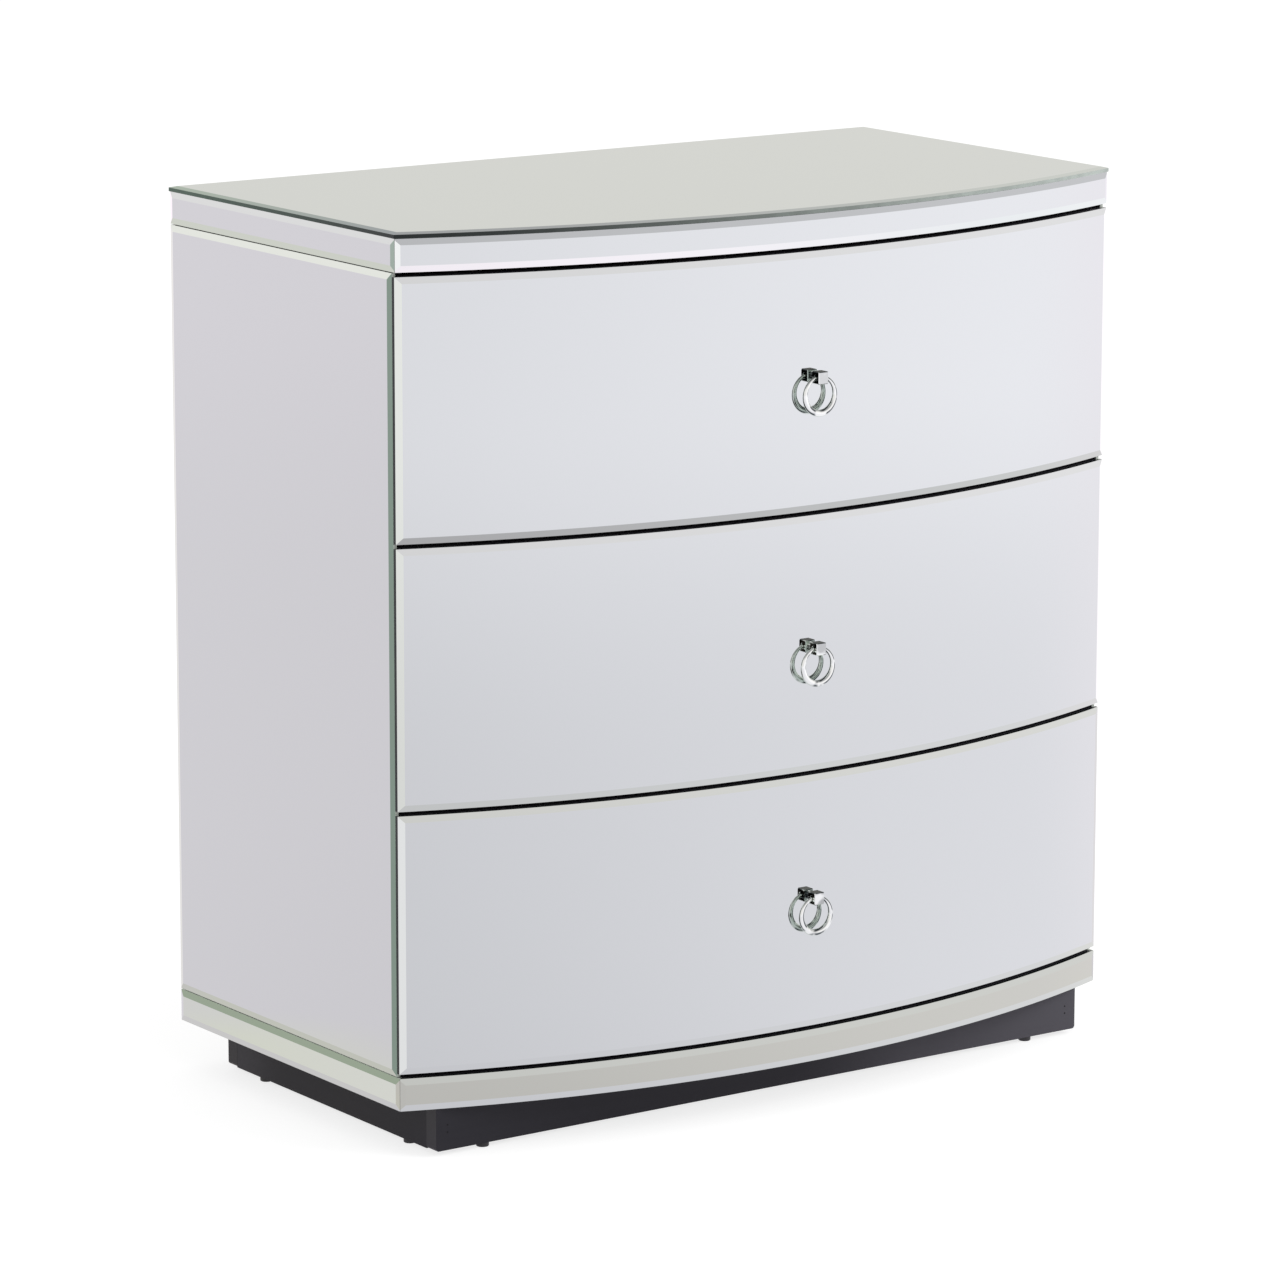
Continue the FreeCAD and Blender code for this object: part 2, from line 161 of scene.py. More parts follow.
@named
class ChestGlassTints(bpy.types.PropertyGroup):
    """What each kind of facet gives back of white light: partly the glass's own tint, and partly painted
    reflection and painted shade, set for what each facet would show of the room
    """
    clear: tint("Faces, and bevels that are as bright", (0.675, 0.72, 0.69))
    soft: tint("Slightly darker bevel", (0.62, 0.665, 0.61))
    dim: tint("Darker bevel", (0.56, 0.605, 0.55))
    warm: tint("Darker face, yellowed", (0.58, 0.605, 0.525))
    mint: tint("Brighter face, greenish", (0.722, 0.773, 0.737))
    sage: tint("Face, yellow-green", (0.682, 0.744, 0.653))
    olive: tint("Darker bevel, yellow-green", (0.645, 0.725, 0.595))
    cool: tint("Darker bevel, bluish", (0.615, 0.645, 0.66))
    stone: tint("Dark bevel", (0.45, 0.475, 0.445))
    steel: tint("Dark bevel, bluish", (0.5, 0.53, 0.54))
    slate: tint("The darkest bevel, bluish", (0.27, 0.305, 0.345))
    grey: tint("Dark neutral bevel", (0.49, 0.53, 0.52))
    cream: tint("Bright bevel, yellowed", (0.79, 0.85, 0.75))
    # leaf, moss and green are partly the green of the glass at its bevel and partly painted shade, darker
    # than the glass alone makes them.
    leaf: tint("Bevel seen through green glass", (0.385, 0.5, 0.405))
    moss: tint("Bevel seen through more of it", (0.315, 0.395, 0.275))
    green: tint("Bevel seen through the most of it", (0.255, 0.355, 0.275))
    pale: tint("Bevel brighter than the face", (0.76, 0.84, 0.78))
    white: tint("Bevel near to white", (0.89, 0.95, 0.87))
    full: tint("Bevel that gives back all of it", (1.0, 1.0, 0.97))
    bottle: tint("Polished edge, from the side", (0.01, 0.017, 0.015))
    fern: tint("Polished edge, green from within", (0.095, 0.17, 0.12))
    jade: tint("Polished edge, lit from within", (0.5, 0.56, 0.52))


@named
class ChestRoom(bpy.types.PropertyGroup):
    """What mirrors and chrome show of the room, in linear colours"""
    # The floor is darker near the front of the chest than far from it: a painted shade that mirrors show.
    floor_near_shaded: tint("In front of the chest", (0.705, 0.67, 0.735))
    floor_far: tint("In front, some metres away", (0.81, 0.77, 0.842))
    foot: tint("Floor beside and behind, at the plinth", (0.785, 0.745, 0.73))
    beside: tint("Floor beside and behind", (0.767, 0.71, 0.778))
    beside_far: tint("The same, some metres away", (0.8, 0.735, 0.81))
    wall_front: tint("Over the horizon in front", (0.745, 0.7, 0.735))
    wall_left: tint("Over the horizon, behind at the left", (0.95, 0.91, 0.89))
    wall_right: tint("Over the horizon, behind at the right", (0.57, 0.56, 0.54))
    zenith: tint("Straight up", (0.3, 0.29, 0.31))
    stand: tint("Dark screens, which only second reflections show", (0.02, 0.016, 0.015))
    level: number("Brightness of all these", 1.3)
    sideways: number("How much brighter the right is", 0.17)
    forwards: number("How much brighter the front is", 0.018)


@named
class ChestStudio(bpy.types.PropertyGroup):
    """Camera, floor and light"""
    azimuth: angle("Turn of the camera to the left of the front", -35.136)
    elevation: angle("Height of the camera over the horizon", 11.765)
    roll: angle("Turn about the view axis", 0.095)
    lens: number("Focal length on a 36 mm frame", 172.51, 1.0, unit="CAMERA")
    camera_place: three("Where the camera stands", (-3.31547, -4.6592, 1.60139), subtype="XYZ",
                        unit="LENGTH")
    floor_size: length("Side of the floor", 80.0)
    fill: number("Plain light from all round", 0.75)
    key: number("Soft light from the right", 60.0, unit="POWER")
    key_size: length("Across the round lamp", 2.4)


# ---- shader maths
def operators(operation):
    """Two methods that add a Math node of a value and another: as written, and reflected."""
    return (lambda value, other: value.tree.maths(operation, value, other),
            lambda value, other: value.tree.maths(operation, other, value))


class Value:
    """A socket that can be used in sums: an expression on values adds its Math nodes."""
    __add__, __radd__ = operators("ADD")
    __sub__, __rsub__ = operators("SUBTRACT")
    __mul__, __rmul__ = operators("MULTIPLY")
    __truediv__, __rtruediv__ = operators("DIVIDE")
    __pow__, __rpow__ = operators("POWER")
    __lt__, __gt__ = operators("LESS_THAN")

    def __init__(self, tree, socket):
        self.tree = tree
        self.socket = socket

    def __abs__(self):
        return self.tree.maths("ABSOLUTE", self)

    def smooth(self, low, high):
        """0 below low, 1 above high, and a smooth step between them."""
        return self.tree.add("ShaderNodeMapRange", {"Value": self, "From Min": low, "From Max": high},
                             interpolation_type="SMOOTHSTEP")


class Tree:
    """The node tree of a material or a world, under construction."""

    def __init__(self, owner):
        owner.use_nodes = True
        self.owner = owner
        self.nodes = owner.node_tree.nodes
        self.links = owner.node_tree.links
        self.nodes.clear()

    def add(self, kind, inputs=None, output=0, **settings):
        """Any node: its settings first, then the values or links of its sockets. Gives one output."""
        node = self.nodes.new(kind)
        for name, setting in settings.items():
            setattr(node, name, setting)
        for key, value in (inputs or {}).items():
            if isinstance(value, Value):
                self.links.new(value.socket, node.inputs[key])
            else:
                node.inputs[key].default_value = value
        return Value(self, node.outputs[output]) if node.outputs else None

    def maths(self, operation, *values):
        """A Math node."""
        return self.add("ShaderNodeMath", dict(enumerate(values)), operation=operation)

    def place(self, kind="Object"):
        """Object coordinates, or the normal or the direction."""
        return self.add("ShaderNodeTexCoord", output=kind)

    def axes(self, vector=None):
        """The three parts of a vector, or of the Object coordinates."""
        split = self.add("ShaderNodeSeparateXYZ", {0: vector or self.place()})
        return [Value(self, output) for output in split.socket.node.outputs]

    def stretched(self, scale):
        """Object coordinates, scaled on each axis."""
        return self.add("ShaderNodeMapping", {"Vector": self.place(), "Scale": scale})

    def noise(self, scale, detail, vector=None, **more):
        """A noise from 0 to 1, by Object coordinates unless others are given."""
        inputs = {"Vector": vector or self.place(), "Scale": scale, "Detail": detail, **more}
        return self.add("ShaderNodeTexNoise", inputs)

    def mix(self, factor, first, second):
        """A mix of two colours."""
        return self.add("ShaderNodeMix", {0: factor, 6: first, 7: second}, output=2, data_type="RGBA")

    def shades(self, factor, colour, dark, light):
        """From a darker to a lighter shade of one colour."""
        return self.mix(factor, rgba(colour, dark), rgba(colour, light))

    def bump(self, height, distance, strength=1.0):
        """A normal from a height in units of the distance, in metres."""
        return self.add("ShaderNodeBump", {"Height": height, "Distance": distance, "Strength": strength})

    def light_path(self, output):
        """Whether the camera or a mirror looks, or after how many bounces."""
        return self.add("ShaderNodeLightPath", output=output)

    def shown_to(self, matt, mirrors, camera):
        """One shader for matt surfaces, one for mirrors and one for the camera."""
        shader = self.add("ShaderNodeMixShader", {0: self.light_path("Is Glossy Ray"), 1: matt, 2: mirrors})
        return self.add("ShaderNodeMixShader", {0: self.light_path("Is Camera Ray"), 1: shader, 2: camera})

    def finish_surface(self, **inputs):
        """A Principled surface from sockets named with underscores for spaces. Gives the material."""
        sockets = {name.replace("_", " "): value for name, value in inputs.items()}
        shader = self.add("ShaderNodeBsdfPrincipled", sockets)
        self.add("ShaderNodeOutputMaterial", {"Surface": shader})
        return self.owner


def rgba(colour, factor=1.0):
    """A colour with alpha 1, scaled."""
    return (*[part * factor for part in colour], 1.0)


def new_material(name):
    """The tree of a new material."""
    return Tree(bpy.data.materials.new(name))


# ---- finishes
def mirror_finish():
    """Silvered glass: a clean metal-bright reflection with the faint waviness and haze of float glass. Its
    colour is the tint of each facet, which holds painted reflection and painted shade besides the glass's
    own tint.
    """
    tree = new_material("silvered_glass")
    # The silvering colour holds the facet tints: painted reflection and painted shade as well as the glass's
    # own tint.
    silvering = tree.add("ShaderNodeAttribute", output="Color", attribute_name="silvering")
    haze = tree.noise(9.0, 3.0)
    wave = tree.noise(3.0, 1.0)
    return tree.finish_surface(Base_Color=silvering, Metallic=1.0, Roughness=haze * 0.022 + 0.012,
                               Normal=tree.bump(wave, 0.0002, 0.5))


def edge_finish():
    """Ground and polished glass edge, tinted by the depth of the glass, with faint grinding streaks. Its
    white and jade tints are painted light.
    """
    tree = new_material("ground_glass_edge")
    streak = tree.noise(60.0, 2.0)
    # The edge tint is the glass's green and, on white and jade edges, painted light.
    depth = tree.add("ShaderNodeAttribute", output="Color", attribute_name="silvering")
    shade = tree.mix(streak * 0.4, depth, rgba((0.0, 0.0, 0.0)))
    return tree.finish_surface(Base_Color=shade, Roughness=streak * 0.12 + 0.12, IOR=1.35)


def backing_finish(colours):
    """Matt grey paint over the silvering."""
    tree = new_material("mirror_backing")
    mottle = tree.noise(40.0, 4.0)
    shade = tree.shades(mottle, colours.backing, 0.85, 1.15)
    return tree.finish_surface(Base_Color=shade, Roughness=mottle * 0.15 + 0.6,
                               Normal=tree.bump(mottle, 0.0001))


def paint_finish(name, colour, roughness, grain_scale, gloss=1.5, marked=None):
    """Satin paint rolled on board: fine orange peel, with the board's grain faint beneath it. marked
    adds what else shows on it to its colour."""
    tree = new_material(name)
    peel = tree.noise(900.0, 2.0)
    grain = tree.noise(1.0, 5.0, tree.stretched(grain_scale))
    wear = tree.noise(14.0, 3.0)
    shade = tree.shades(grain * 0.6 + wear * 0.4, colour, 0.82, 1.18)
    if marked:
        shade = marked(tree, shade)
    return tree.finish_surface(Base_Color=shade, Roughness=wear * 0.14 + (roughness - 0.07), IOR=gloss,
                               Normal=tree.bump(peel * 0.35 + grain * 0.65, 0.00012, 0.6))


def nails_and_painted_light(colours, tree, shade):
    """What shows on the plinth's front: two filled nail holes near each end, and a painted light that makes
    the right end lighter.
    """
    low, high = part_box("plinth_front")
    nail_x, nail_z, nail_step, nail_radius = high.x - 0.0125, 0.0255, 0.0035, 0.0009
    face_depth = 0.001
    unlit_x, lit_x = 0.02, 0.18
    x, y, z = tree.axes()
    across = abs(x) - nail_x
    up = abs(z - nail_z) - nail_step
    hole = ((across * across + up * up) ** 0.5 < nail_radius) * (y < low.y + face_depth)
    # A painted light: the front turns lighter towards its right end, as if lit from the right.
    lit_right_end = tree.mix(x.smooth(unlit_x, lit_x), shade, rgba(colours.dust))
    return tree.mix(hole, lit_right_end, rgba(colours.plinth, 0.15))


def butt_joint(colours, tree, shade):
    """What shows on the plinth's sides: the joint with the board at the back, as a hairline, and paint that
    turns lighter in front of it."""
    half_line, lighter_reach = 0.0006, 0.09
    joint_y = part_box("plinth_back")[0].y
    y = tree.axes()[1]
    # The paint turns lighter over the last stretch before the joint.
    lighter_at_back = tree.mix(y.smooth(joint_y - lighter_reach, joint_y), shade, rgba(colours.dust, 0.68))
    return tree.mix(abs(y - joint_y) < half_line, lighter_at_back, rgba(colours.plinth, 0.3))


def ply_finish(name, colours, thickness_axis, grain_scale):
    """Lacquered plywood: straight grain on its faces, and glued layers on its edges."""
    layer_pair = 0.0030
    tree = new_material(name)
    along = tree.axes()[thickness_axis]
    on_edge = abs(tree.axes(tree.place("Normal"))[thickness_axis]) < 0.5
    figure = tree.noise(1.0, 6.0, tree.stretched(grain_scale), Roughness=0.62)
    broad = tree.noise(2.6, 2.0)
    face = tree.shades(figure, colours.ply, 0.72, 1.18)
    face = tree.mix(broad * 0.25, face, rgba(colours.ply_figure))
    layer = tree.maths("SINE", along * (2 * math.pi / layer_pair))
    layers = tree.shades(layer.smooth(-0.35, 0.35), colours.ply, 0.45, 1.05)
    return tree.finish_surface(Base_Color=tree.mix(on_edge, face, layers), Roughness=figure * 0.2 + 0.32,
                               Normal=tree.bump(figure, 0.00015, 0.5), Coat_Weight=0.25, Coat_Roughness=0.2)


def hardboard_finish(colours):
    """Pressed board: a fine wire-screen weave with speckled fibre."""
    wire_pitch = 0.0022
    tree = new_material("pressed_back_board")
    x, _, z = tree.axes()
    wave_x, wave_z = (tree.maths("SINE", place * (2 * math.pi / wire_pitch)) for place in (x, z))
    fibre = tree.noise(380.0, 4.0)
    blotch = tree.noise(7.0, 3.0)
    shade = tree.shades(fibre * 0.7 + blotch * 0.3, colours.hardboard, 0.65, 1.5)
    return tree.finish_surface(Base_Color=shade, Roughness=fibre * 0.2 + 0.55,
                               Normal=tree.bump(wave_x * wave_z * 0.5 + fibre, 0.0002, 0.7))


def steel_finish(name, colour, roughness, stretch):
    """Plated steel with fine rolling lines and a soft bloom."""
    tree = new_material(name)
    lines = tree.noise(1.0, 4.0, tree.stretched(stretch))
    bloom = tree.noise(30.0, 3.0)
    return tree.finish_surface(Base_Color=tree.shades(bloom, colour, 0.82, 1.1), Metallic=0.95,
                               Roughness=lines * 0.12 + bloom * 0.1 + roughness,
                               Normal=tree.bump(lines, 0.00003, 0.5))


def chrome_finish(colours):
    """Polished chrome with faint handling marks, and a thin broken dark line where it turns away: a painted
    reflection of the dark gap between two pale screens, as a round bright thing would show it."""
    tree = new_material("polished_chrome")
    marks = tree.noise(220.0, 4.0)
    turned = tree.add("ShaderNodeLayerWeight", {"Blend": 0.5}, output="Facing")
    broken = tree.noise(75.0, 2.0).smooth(0.38, 0.52)
    # A painted reflection: the chrome's colour darkens to a thin broken line where the surface turns from
    # the view.
    line = turned.smooth(0.16, 0.28) * turned.smooth(0.64, 0.48) * broken
    shade = tree.mix(line, tree.shades(marks, colours.chrome, 0.97, 1.03), rgba(colours.chrome_painted_reflection))
    return tree.finish_surface(Base_Color=shade, Metallic=1.0, Roughness=marks * 0.05 + 0.02)


def nylon_finish(colours):
    """Black moulded nylon with a fine sparked texture."""
    tree = new_material("moulded_nylon")
    grit = tree.noise(1400.0, 3.0)
    return tree.finish_surface(Base_Color=tree.shades(grit, colours.nylon, 0.7, 1.6),
                               Roughness=grit * 0.2 + 0.4, Normal=tree.bump(grit, 0.00005))


# ---- mesh helpers
def closed_outwards(points, faces):
    """Joins points that coincide, drops the faces that this leaves empty, and turns the rest outwards,
    so that the cones from the origin to them add up to over nought. Gives also each face's source."""
    keys = np.round(points * 1e7).astype(np.int64)
    _, first, renumber = np.unique(keys, axis=0, return_index=True, return_inverse=True)
    points, renumber = points[first], renumber.ravel()
    kept, sources = [], []
    for source, face in enumerate(faces):
        corners = [int(renumber[index]) for index in face]
        corners = [c for c, before in zip(corners, corners[-1:] + corners[:-1]) if c != before]
        if len(corners) > 2:
            kept.append(corners)
            sources.append(source)
    triangles = np.array([(face[0], face[i], face[i + 1]) for face in kept for i in range(1, len(face) - 1)])
    a, b, c = (points[triangles[:, corner]] for corner in range(3))
    if (a * np.cross(b, c)).sum() < 0:
        kept = [face[::-1] for face in kept]
    return points, kept, sources


def new_mesh(name, points, faces, sharp_degrees):
    """A smooth-shaded mesh whose edges stay sharp past an angle."""
    mesh = bpy.data.meshes.new(name)
    mesh.from_pydata(points.tolist(), [], faces)
    mesh.polygons.foreach_set("use_smooth", np.ones(len(mesh.polygons), bool))
    mesh.set_sharp_from_angle(angle=math.radians(sharp_degrees))
    mesh.update()
    return mesh


def solid_mesh(name, shells, sharp_degrees):
    """Several shells of points and faces as one mesh, each closed and turned outwards."""
    points, faces = np.empty((0, 3)), []
    for shell in shells:
        shell_points, shell_faces, _ = closed_outwards(*shell)
        faces += [[index + len(points) for index in face] for face in shell_faces]
        points = np.vstack([points, shell_points])
    return new_mesh(name, points, faces, sharp_degrees)


def add_object(name, data):
    """Puts a mesh, a lamp or a camera into the scene."""
    added = bpy.data.objects.new(name, data)
    bpy.context.scene.collection.objects.link(added)
    return added


def new_piece(name, mesh, materials, body, node):
    """Puts a mesh into the scene as a piece that rides on a body and stands for a node."""
    for material in materials:
        mesh.materials.append(material)
    piece = add_object(name, mesh)
    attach(piece, body)
    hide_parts(node)


def grid_faces(rows, columns, wrap_rows=False, wrap_columns=False):
    """Four-cornered faces over a grid of points."""
    index = np.arange(rows * columns).reshape(rows, columns)
    if wrap_rows:
        index = np.vstack([index, index[:1]])
    if wrap_columns:
        index = np.hstack([index, index[:, :1]])
    cells = [index[:-1, :-1], index[:-1, 1:], index[1:, 1:], index[1:, :-1]]
    return np.stack(cells, -1).reshape(-1, 4).tolist()


def looped(axis, centre, angles, loops, through=False):
    """A shell of loops about the X axis (0) or the Y axis (1), each a distance along it and a radius
    at each angle. The radius times the sine lies along the next axis, and times the cosine along the
    one after. Loops that go through close the last to the first."""
    rows = [np.column_stack([np.full_like(angles, distance), radius * np.sin(angles),
                             radius * np.cos(angles)]) for distance, radius in loops]
    points = np.roll(np.vstack(rows), axis, axis=1) + np.array(centre)
    return points, grid_faces(len(loops), len(angles), wrap_rows=through, wrap_columns=True)


# ---- the bow in plan
class Bow:
    """The round front in plan: arcs about one centre behind the chest."""

    def __init__(self, sizes):
        low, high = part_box("top_mirror")
        self.half_width = high.x
        self.back_y = high.y
        self.corner_y = high.y - sizes.side_depth
        self.radius = (self.half_width ** 2 + sizes.bow_rise ** 2) / (2 * sizes.bow_rise)
        self.centre_y = low.y + self.radius

    def y(self, x, depth=0.0):
        """The centre's y less the root of the squared radius less x squared, at a depth in the glass."""
        return self.centre_y - np.sqrt((self.radius - depth) ** 2 - x ** 2)

    def line(self, x, depth=0.0):
        """Points in plan at a depth below the face."""
        return np.stack([x, self.y(x, depth)], -1)


class Mitre:
    """The joint at the right front corner, of a bowed strip (side -1) and a side strip (side 1)."""

    def __init__(self, bow, sizes):
        self.bow = bow
        self.sizes = sizes
        self.outer = np.array([bow.half_width, bow.corner_y])
        inwards = bow.line(bow.half_width - sizes.thickness, sizes.thickness) - self.outer
        self.along = inwards / np.linalg.norm(inwards)
        self.backwards = np.array([self.along[1], -self.along[0]])

    def meets(self, depth, side):
        """Where a strip's plane, or its arc by the root of a quadratic, meets its own mitre face."""
        start = self.outer + self.backwards * side * self.sizes.glue_line / 2
        if side > 0:
            share = (self.outer[0] - depth - start[0]) / self.along[0]
            return start + self.along * share
        from_centre = start - (0.0, self.bow.centre_y)
        half_b = from_centre @ self.along
        root = math.sqrt(half_b ** 2 - from_centre @ from_centre + (self.bow.radius - depth) ** 2)
        return start + self.along * min(-half_b - root, -half_b + root, key=abs)

    def cut(self, line_end, end, side):
        """The share of a bevel, from its line to its end, in front of the strip's mitre face, and
        where the strip's face, bevelled edge and back end there."""
        before = (self.outer - line_end) @ self.backwards + side * self.sizes.glue_line / 2
        kept = before / ((end - line_end) @ self.backwards)
        return (kept, line_end + kept * (end - line_end), self.meets(self.sizes.bevel_depth, side),
                self.meets(self.sizes.thickness, side))


# ---- bevelled sheets
FACE, LOW, HIGH, START, END, BACK, EDGE, START_EDGE, END_EDGE = FACETS = range(9)
PLAIN_TINTS = dict.fromkeys(FACETS[:EDGE], "clear") | dict.fromkeys(FACETS[EDGE:], "bottle")
# Each facet's tint is the glass's own colour and also painted reflection and painted shade: faces and bevels
# are made darker or brighter, greener or bluer, one by one, for what each would show of the room. White,
# cream, full and jade facets are painted light, and the warm face of the bottom band is the painted shade of
# the floor next to the chest.
FACET_TINTS = {                 # what differs from the plain tints; a side sheet starts at its front
    "top_mirror": {LOW: "steel clear", START: "slate leaf", END: "cool", EDGE: "bottle jade",
                   START_EDGE: "bottle fern", END_EDGE: "jade"},
    "side_mirror": {LOW: "dim", START: "green", END: "cream", EDGE: "white", START_EDGE: "white",
                    END_EDGE: "jade"},
    "top_band_side": {LOW: "olive", HIGH: "cool", START: "leaf", END: "full", END_EDGE: "jade"},
    "bottom_band_side": {LOW: "cool", HIGH: "moss", START: "warm", FACE: "mint sage", EDGE: "white",
                         END_EDGE: "jade"},
    "top_band": {LOW: "full pale", HIGH: "grey", START: "white"},
    "upper_drawer": {LOW: "stone dim", START: "cream", END: "white"},
    "middle_drawer": {LOW: "soft", START: "cream", END: "white"},
    "lower_drawer": {LOW: "clear soft", HIGH: "soft", START: "white", END: "dim"},
    "bottom_band": {LOW: "clear soft", HIGH: "dim", START: "warm", END: "stone", FACE: "warm"},
}


def sheet_shell(rows):
    """A closed sheet from six rows of points that go round it: the low edge, the two bevel lines and
    the high edge of its front, then the high and the low edge of its back. Cells round the face are
    bevels, whose corners close on the diagonal."""
    rows = np.array(rows)
    columns = rows.shape[1]
    grid = np.arange(6 * columns).reshape(6, columns)
    faces = grid_faces(6, columns, wrap_rows=True) + [grid[:, 0].tolist(), grid[::-1, -1].tolist()]
    facets = np.repeat([LOW, FACE, HIGH, EDGE, BACK, EDGE], columns - 1)
    facets[[columns - 1, 2 * columns - 3]] = START, END
    return rows.reshape(-1, 3), faces, np.append(facets, (START_EDGE, END_EDGE))


def upright_sheet(lines, kept, z0, z1, bevel):
    """An upright sheet from three lines in plan, along its face, its bevelled edge and its back, and
    the share of the bevel that is kept at each end. The bevel lines run out at an end column above
    the edge by the rest of the bevel's width."""
    face, edge, back = lines
    ones = np.ones(len(face))
    rise = bevel * ones
    rise[[0, -1]] *= 1 - np.array(kept)
    rows = (edge, z0), (face, z0 + rise), (face, z1 - rise), (edge, z1), (back, z1), (back, z0)
    return sheet_shell([np.column_stack([line, z * ones]) for line, z in rows])


def bowed_sheet(bow, sizes, half_x, z0, z1, mitre=None):
    """A curved sheet: its columns are places x across the bow, with y from the arc at each depth."""
    slope = math.asin(half_x / bow.radius)
    line_x = half_x - sizes.bevel_width * math.cos(slope)
    inside = np.linspace(-line_x, line_x, sizes.bow_columns + 1)
    end = bow.line(half_x) + (0.0, sizes.bevel_depth / math.cos(slope))
    plain = 1.0, end, end, bow.line(half_x, sizes.thickness)
    kept, *ends = mitre.cut(bow.line(line_x), end, -1) if mitre else plain
    lines = [np.vstack([end * (-1, 1), bow.line(inside, depth), end])
             for depth, end in zip((0.0, sizes.bevel_depth, sizes.thickness), ends)]
    return upright_sheet(lines, (kept, kept), z0, z1, sizes.bevel_width)


def side_sheet(bow, sizes, y0, y1, z0, z1, mitre=None):
    """A flat sheet on the right side, from y0 to y1, whose columns are its ends and bevel lines."""
    inside = np.linspace(y0 + sizes.bevel_width, y1 - sizes.bevel_width, 5)
    ends_x = bow.half_width - np.array([sizes.bevel_depth, sizes.bevel_depth, sizes.thickness])
    plain = 1.0, *[np.array([x, y0]) for x in ends_x]
    kept, *fronts = mitre.cut(np.array([bow.half_width, inside[0]]), plain[1], 1) if mitre else plain
    lines = []
    for depth, front, end_x in zip((0.0, sizes.bevel_depth, sizes.thickness), fronts, ends_x):
        middle = np.column_stack([np.full(len(inside), bow.half_width - depth), inside])
        lines.append(np.vstack([front, middle, [end_x, y1]]))
    return upright_sheet(lines, (kept, 1.0), z0, z1, sizes.bevel_width)


def top_sheet(bow, sizes, z0, z1):
    """The lying sheet: rows run from the bowed front edge to the straight back, and bevel lines lie
    inside the outline by the bevel's width, on an arc of as much less radius."""
    def inset(outline, inside):
        moved = outline.copy()
        moved[1:-1] = inside
        return moved

    bevel = sizes.bevel_width
    inner_half = bow.half_width - bevel
    inner_x = np.linspace(-inner_half, inner_half, sizes.bow_columns + 1)
    x = np.pad(inner_x * bow.half_width / inner_half, 1, "edge")
    front, back = bow.y(x), np.full(len(x), bow.back_y)
    low_z, edge_z = np.full(len(x), z0), np.full(len(x), z1 - sizes.bevel_depth)
    line_x, face_z = inset(x, inner_x), inset(edge_z, z1)
    rows = ((x, front, edge_z), (line_x, inset(front, bow.y(inner_x, bevel)), face_z),
            (line_x, inset(back, bow.back_y - bevel), face_z), (x, back, edge_z),
            (x, back, low_z), (x, front, low_z))
    return sheet_shell([np.column_stack(row) for row in rows])


def facet_colours(points, faces, facets, kind):
    """The tint of each corner of each face: where a facet has two, the first runs smoothly into the second,
    along the sheet from its left or front end or, on a facet at an end, across the sheet. The tints hold
    painted reflection and painted shade, so such a run is a painted reflection that brightens or darkens
    across the sheet."""
    tints = bpy.context.scene.chest_tints
    names = {**PLAIN_TINTS, **FACET_TINTS[kind]}
    pairs = [names[facet].split() for facet in FACETS]
    first, last = (np.array([rgba(getattr(tints, pair[end])) for pair in pairs]) for end in (0, -1))
    extent = np.ptp(points[:, :2], axis=0)
    places = ((points[:, :2] - points[:, :2].min(axis=0)) / extent)[np.concatenate(faces)]
    facet = np.repeat(facets, [len(face) for face in faces])
    longest = int(np.argmax(extent))
    at_end = np.isin(facet, (START, END, START_EDGE, END_EDGE))
    share = np.where(at_end, places[:, 1 - longest], places[:, longest])[:, None]
    share = share * share * (3 - 2 * share)
    return first[facet] * (1 - share) + last[facet] * share


def mirror_piece(node, kind, shell, materials, side=1, body="root"):
    """Makes one sheet, on its own side, with the finishes and the tints of its facets, which hold painted
    reflection and painted shade.
    """
    sharp_degrees = 5.0
    points, faces, facets = shell
    points, faces, sources = closed_outwards(points * (side, 1, 1), faces)
    facets = facets[sources]
    mesh = new_mesh(node + "_sheet", points, faces, sharp_degrees)
    finish = np.where(facets == BACK, 2, facets >= EDGE)
    mesh.polygons.foreach_set("material_index", finish.astype(np.int32))
    # The silvering colour stores each facet's tint, painted reflection and painted shade among it.
    attribute = mesh.color_attributes.new("silvering", "FLOAT_COLOR", "CORNER")
    attribute.data.foreach_set("color", facet_colours(points, faces, facets, kind).ravel())
    new_piece(node + "_sheet", mesh, materials, body, node)


def glass_parts(scene):
    """What every sheet takes: the sizes, the bow, and the mirror, ground edge and backing, made once."""
    names = ("silvered_glass", "ground_glass_edge", "mirror_backing")
    made = [bpy.data.materials.get(name) for name in names]
    if not all(made):
        made = [mirror_finish(), edge_finish(), backing_finish(scene.chest_colours)]
    return scene.chest_glass, Bow(scene.chest_glass), made


def heights(node):
    """The lowest and highest z of a node."""
    low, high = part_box(node)
    return low.z, high.z


class CHEST_OT_body_mirrors(bpy.types.Operator):
    """Make the top, side and band mirrors of the body"""
    bl_idname = "chest.body_mirrors"
    bl_label = "Body mirrors"

    def execute(self, context):
        sizes, bow, materials = glass_parts(context.scene)
        mitre = Mitre(bow, sizes)
        sheet = top_sheet(bow, sizes, *heights("top_mirror"))
        mirror_piece("top_mirror", "top_mirror", sheet, materials)
        for side_name, side in SIDES.items():
            node = "side_mirror_" + side_name
            sheet = side_sheet(bow, sizes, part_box(node)[0].y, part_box(node)[1].y, *heights(node))
            mirror_piece(node, "side_mirror", sheet, materials, side)
        for band in ("top_band", "bottom_band"):
            span = heights(band + "_mirror_front")
            sheet = bowed_sheet(bow, sizes, bow.half_width, *span, mitre)
            mirror_piece(band + "_mirror_front", band, sheet, materials)
            sheet = side_sheet(bow, sizes, bow.corner_y, bow.back_y, *span, mitre)
            for side_name, side in SIDES.items():
                mirror_piece(band + "_mirror_" + side_name, band + "_side", sheet, materials, side)
        return {"FINISHED"}


